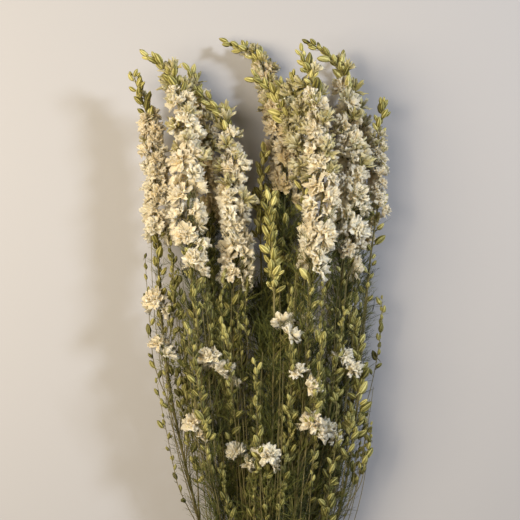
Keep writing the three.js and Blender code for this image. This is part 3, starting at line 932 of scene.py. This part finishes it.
for number in STALKS:
    rng = random.Random(TWIG_SEED + int(number))
    seed = 10 * int(number)
    axis = axes[number]
    stem_length = length_of(axis)
    lowest, highest = OTHER_TWIG_TOPS.get(number, TWIG_TOPS)
    more, more_side = MORE_TWIGS.get(number, (0, 0.0))
    threads = []
    for i in range(TWIGS_PER_STEM + more):
        length = rng.uniform(*TWIG_LENGTHS) * MM
        top = stem_length * (lowest + (highest - lowest) * rng.random() ** 0.8)
        start = min(top, stem_length - TIP_ROOM) - length
        away, angle = rng.uniform(*TWIG_REACHES) * MM, rng.uniform(-TWIG_FAN, math.pi + TWIG_FAN)
        if i >= TWIGS_PER_STEM:
            away, angle = rng.uniform(*MORE_REACHES) * MM, more_side + rng.uniform(-TWIG_FAN, TWIG_FAN)
        threads.append(beside(axis, start, length, away, angle, rng))
    bare = [beside(axis, stem_length * rng.uniform(*BARE_STARTS), rng.uniform(*BARE_LENGTHS) * MM,
                   rng.uniform(*BARE_REACHES) * MM, rng.uniform(-BARE_FAN, math.pi + BARE_FAN), rng)
            for _ in range(FEWER_BARE_TWIGS.get(number, BARE_TWIGS))]
    made = [
        grow("rods", threads, stem_tree, THIN_ROD),
        set_round("columns", threads, buds, BUDS_PER_TWIG,
                  span=(OTHER_BARE_SHARES.get(number, TWIG_BARE_SHARE), 1.0), leans=(0.5, 0.3),
                  sizes=(0.8, 0.6), seed=seed + 6, skin=shaded_bud_skin, size_scatter=0.35),
        grow("bare", bare, stem_tree, THIN_ROD)]
    for stem, share, length, aside, up, kinds, skin in SIDE_SPIKES:
        if stem == number:
            thread = beside(axis, stem_length * share, length * MM, Vector((aside, up)).length * MM,
                            math.atan2(up, aside), rng)
            made += [
                grow("side_rod", [thread], stem_tree, THIN_ROD),
                set_round("side_florets", [thread], kinds, count=round(length / SIDE_FLORET_SPACING),
                          span=(0.15, 0.72), leans=(1.1, 0.8), sizes=(0.95, 0.75), seed=seed + 2, skin=skin),
                set_round("side_opening", [thread], opening, count=7, span=(0.62, 0.92), leans=(0.9, 0.6),
                          sizes=(0.95, 0.8), seed=seed + 9, skin=greenish_paper),
                set_round("side_buds", [thread], buds, count=6, span=(0.8, 1.0), leans=(0.7, 0.3),
                          sizes=(0.9, 0.7), seed=seed + 4, skin=bud_skin)]
    if f"florets_{number}" in frame["nodes"]:
        foot, _ = stretch_beside(axis, f"florets_{number}")
        span = foot - LOW_BUDS_BELOW, foot + LOW_BUDS_ABOVE
        made.append(set_round("low_buds", [axis], buds, LOW_BUDS, span, leans=(0.6, 0.7), sizes=(0.75, 1.1),
                              seed=seed + 13, skin=bud_skin))
    for stem, share, aside, count in LATE_FLOWERS:
        if stem == number:
            thread = beside(axis, stem_length * share - LATE_STALK, LATE_STALK,
                            Vector((aside, LATE_RISE)).length * MM, math.atan2(LATE_RISE, aside), rng)
            made += [
                grow("late_rod", [thread], stem_tree, THIN_ROD),
                set_round("late_flower", [thread], florets, count, span=(0.7, 1.0), leans=(0.9, 0.4),
                          sizes=(0.85, 0.85), seed=seed + count, skin=petal_paper)]
    place(join(f"twigs_{number}", made), "bud")

# ---------------------------------------------------------------------------------------------
# Leaves.
# Larkspur leaves are cut into threads. Dried, they cling in dark olive tufts along the lower
# stems and point towards the flowers.
# ---------------------------------------------------------------------------------------------
LEAF_KINDS = 6
LEAF_FORKS = 4
# least and most length of a leaf's trunk, branches and threads, in millimetres
TRUNK_LENGTHS = (9, 15)
BRANCH_LENGTHS = (10, 20)
THREAD_LENGTHS = (7, 16)
LEAF_SPACING = 2.6 * MM
# more leaves stand above the tufts, up to this share of the stem
HIGHER_LEAVES = 66
HIGHEST_LEAF = 0.77
# the stems at the edges of the bunch have smaller leaves
EDGE_STALKS = {"01": 0.42, "12": 0.4, "13": 0.5}


def leaf_spray(kind):
    """A divided leaf: a short stalk along +Z that forks twice into fine curling threads."""
    rng = random.Random(500 + kind)

    def wild(amount):
        return Vector((rng.uniform(-1, 1), rng.uniform(-1, 1), rng.uniform(-0.3, 0.6))) * amount

    def thread(start, way, length, width, steps=3):
        curl = wild(0.4)
        shares = [step / steps for step in range(steps + 1)]
        points = [start + way * length * t + curl * length * t * t for t in shares]
        shape.add(*tube(points, [width * (1 - 0.7 * t * t) for t in shares], 3))
        return points

    shape = Shape()
    trunk = thread(Vector((0, 0, 0.2 * MM)), Vector((0, 0, 1)), rng.uniform(*TRUNK_LENGTHS) * MM, 0.38 * MM)
    for i in range(LEAF_FORKS):
        way = (Vector((0, 0, 1)) + wild(0.75)).normalized()
        branch = thread(trunk[rng.choice((1, 2, 3))], way, rng.uniform(*BRANCH_LENGTHS) * MM, 0.3 * MM)
        for k in range(LEAF_FORKS - 1):
            finer = (way + wild(0.7)).normalized()
            thread(branch[rng.choice((1, 2, 3))], finer, rng.uniform(*THREAD_LENGTHS) * MM, 0.26 * MM, 2)
    return shape


leaf_skin = dry_plant_colour("dry_leaf", [
    (0.25, (0.018, 0.023, 0.0015)), (0.45, (0.052, 0.064, 0.006)), (0.62, (0.115, 0.125, 0.017)),
    (0.85, (0.23, 0.215, 0.05))], 300, (1, 0.3, 1), 0.55)
sprays = kinds_of("leaf_spray", [leaf_spray(kind) for kind in range(LEAF_KINDS)])
for number in STALKS:
    node = f"leaves_{number}"
    axis = axes[number]
    seed = 10 * int(number)
    start, end = stretch_beside(axis, node)
    count = round((end - start) * length_of(axis) / LEAF_SPACING)
    size = EDGE_STALKS.get(number, 1.0)
    tuft = set_round("tuft", [axis], sprays, count, span=(start, end), leans=(0.5, 0.5),
                     sizes=(1.1 * size, 1.1 * size), seed=seed + 7, skin=leaf_skin)
    higher = set_round("higher", [axis], sprays, HIGHER_LEAVES, span=(end, max(end, HIGHEST_LEAF)),
                       leans=(0.5, 0.45), sizes=(1.1 * size, 0.95 * size), seed=seed + 8, skin=leaf_skin)
    place(join(f"foliage_{number}", [tuft, higher]), "leaf", node)

# ---------------------------------------------------------------------------------------------
# Rubber band.
# A tan rubber band is wound four times round the gathered stems near their cut ends. It pulls
# straight between the outer stems and crosses over itself.
# ---------------------------------------------------------------------------------------------
BAND_THREAD = 0.8 * MM
BAND_SPREAD = 3.2 * MM
BAND_POINTS = 64
# how far each turn stands out from the stems, in thread radii
BAND_LAYERS = (1.0, 1.0, 2.6, 2.6)
RIM_POINTS = 32


def at_height(axis, y):
    """The middle and radius of a stem where it passes a given distance along the bunch."""
    for (a, ra), (b, rb) in zip(axis, axis[1:]):
        if a.y <= y <= b.y:
            share = (y - a.y) / (b.y - a.y)
            return a.lerp(b, share), ra + (rb - ra) * share


def stretched_round(discs, gap):
    """The line a tight band takes round a group of discs, as even points (x, z)."""
    rim = sorted({(round(centre.x + math.cos(k * 2 * math.pi / RIM_POINTS) * (radius + gap), 6),
                   round(centre.z + math.sin(k * 2 * math.pi / RIM_POINTS) * (radius + gap), 6))
                  for centre, radius in discs for k in range(RIM_POINTS)})

    def chain(points):
        kept = []
        for p in points:
            while len(kept) > 1 and ((kept[-1][0] - kept[-2][0]) * (p[1] - kept[-2][1])
                                     - (kept[-1][1] - kept[-2][1]) * (p[0] - kept[-2][0])) <= 0:
                kept.pop()
            kept.append(p)
        return kept[:-1]

    hull = chain(rim) + chain(rim[::-1])
    line = [(Vector((x, 0, z)), 0.0) for x, z in hull + hull[:1]]
    length = length_of(line)
    return [point for point, _ in even_points(line, length / BAND_POINTS)][:-1]


band_low, band_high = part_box("rubber_band")
band_y = (band_low.y + band_high.y) / 2
crossings = [at_height(axes[number], band_y) for number in STALKS]
loops = [stretched_round(crossings, BAND_THREAD * layer) for layer in BAND_LAYERS]
turns = len(loops)
path = []
for i in range(turns * BAND_POINTS):
    turn, step = divmod(i, BAND_POINTS)
    point = loops[turn][step].lerp(loops[(turn + 1) % turns][step], (step / BAND_POINTS) ** 3)
    along = math.cos(2 * math.pi * i / (turns * BAND_POINTS))
    path.append((Vector((point.x, band_y + BAND_SPREAD * along, point.z)), BAND_THREAD))
rubber = dry_plant_colour("tan_rubber", [
    (0.3, (0.42, 0.25, 0.11)), (0.7, (0.55, 0.36, 0.18))], 90, (1, 1, 1), 0.0)
band = grow("rubber_band_turns", [path], stem_tree, {"Ridges": 5, "Ridge depth": 0.05, "Bark": rubber},
            closed=True)
place(band, "rubber_band", "rubber_band")

# the single florets, buds and leaves have been copied on to the stems and are no longer needed
for kinds in (florets, opening, buds, sprays):
    for made in list(kinds.objects):
        bpy.data.objects.remove(made)
